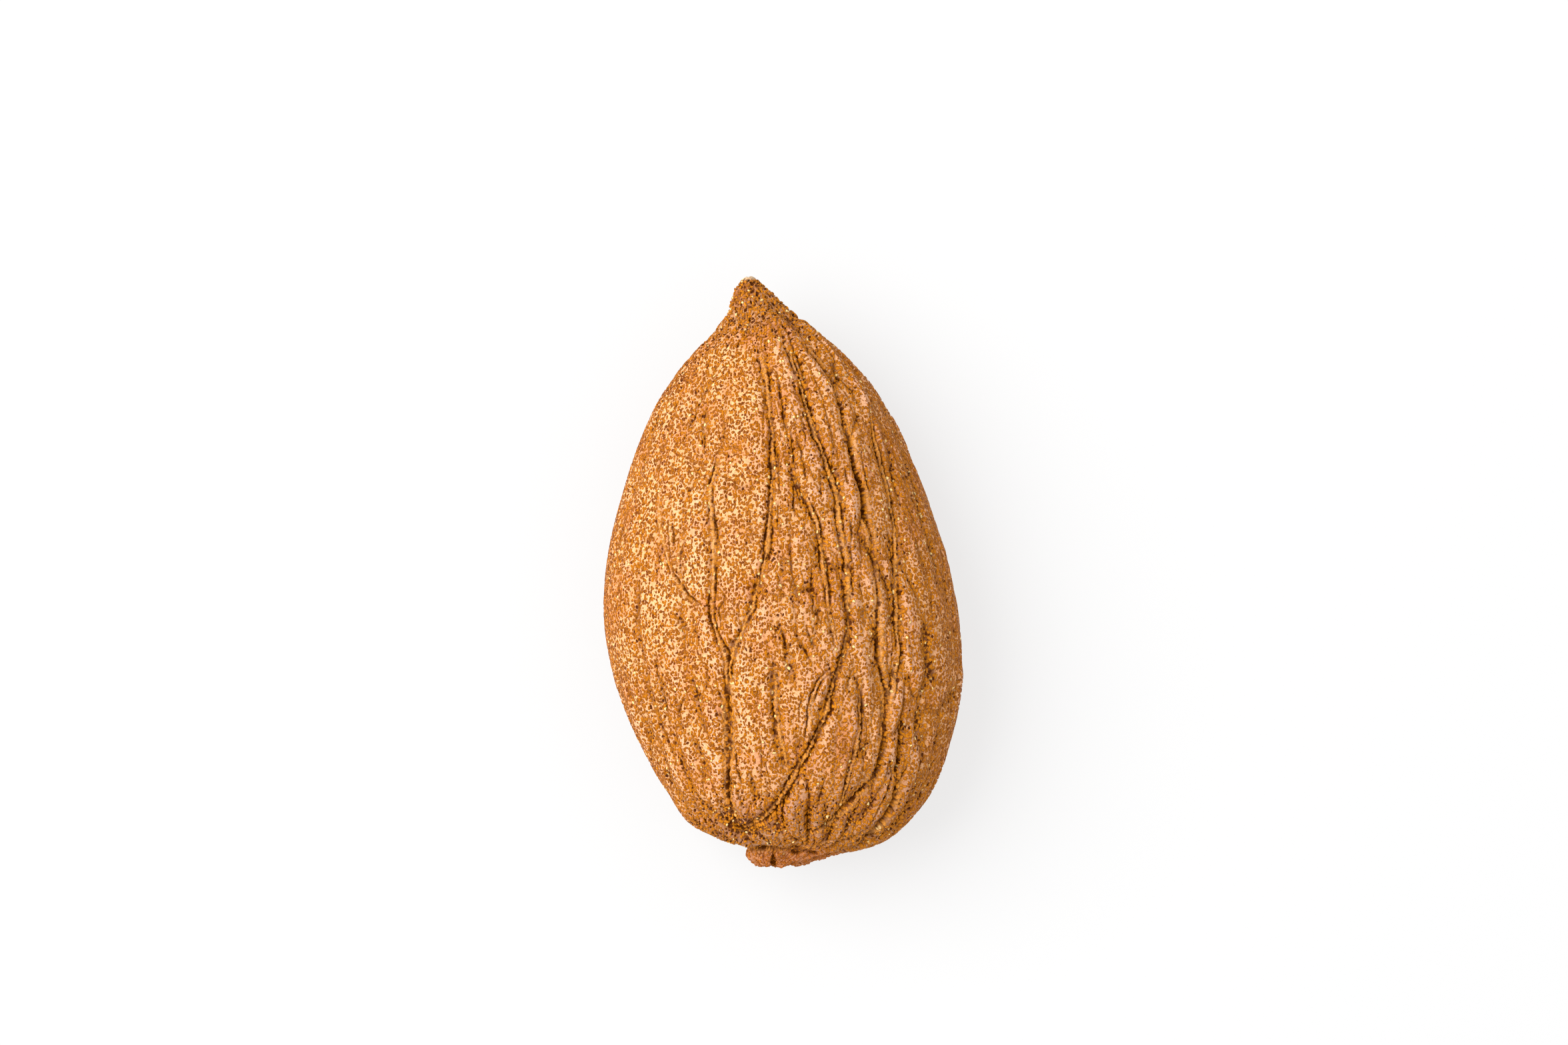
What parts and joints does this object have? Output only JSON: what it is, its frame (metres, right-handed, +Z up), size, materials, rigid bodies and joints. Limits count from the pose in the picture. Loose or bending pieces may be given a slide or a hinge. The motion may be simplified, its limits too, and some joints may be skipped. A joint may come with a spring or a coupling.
{
  "type": "apricot kernel",
  "caption": "Dry almond-shaped stone-fruit seed with a pointed beak, a wrinkled veined skin and a small flap at its blunt end.",
  "frame": {"origin": "on the resting plane, below the middle of the bounding box", "axes": "+Z up, away from the resting plane; +Y towards the pointed tip, along the kernel's length; +X across its width"},
  "size_m": [0.012, 0.02, 0.0075],
  "materials": {
    "skin": "matt, dry and grainy, with fine raised veins"
  },
  "bodies": {
    "root": {"kernel": "skin"}
  },
  "joints": []
}
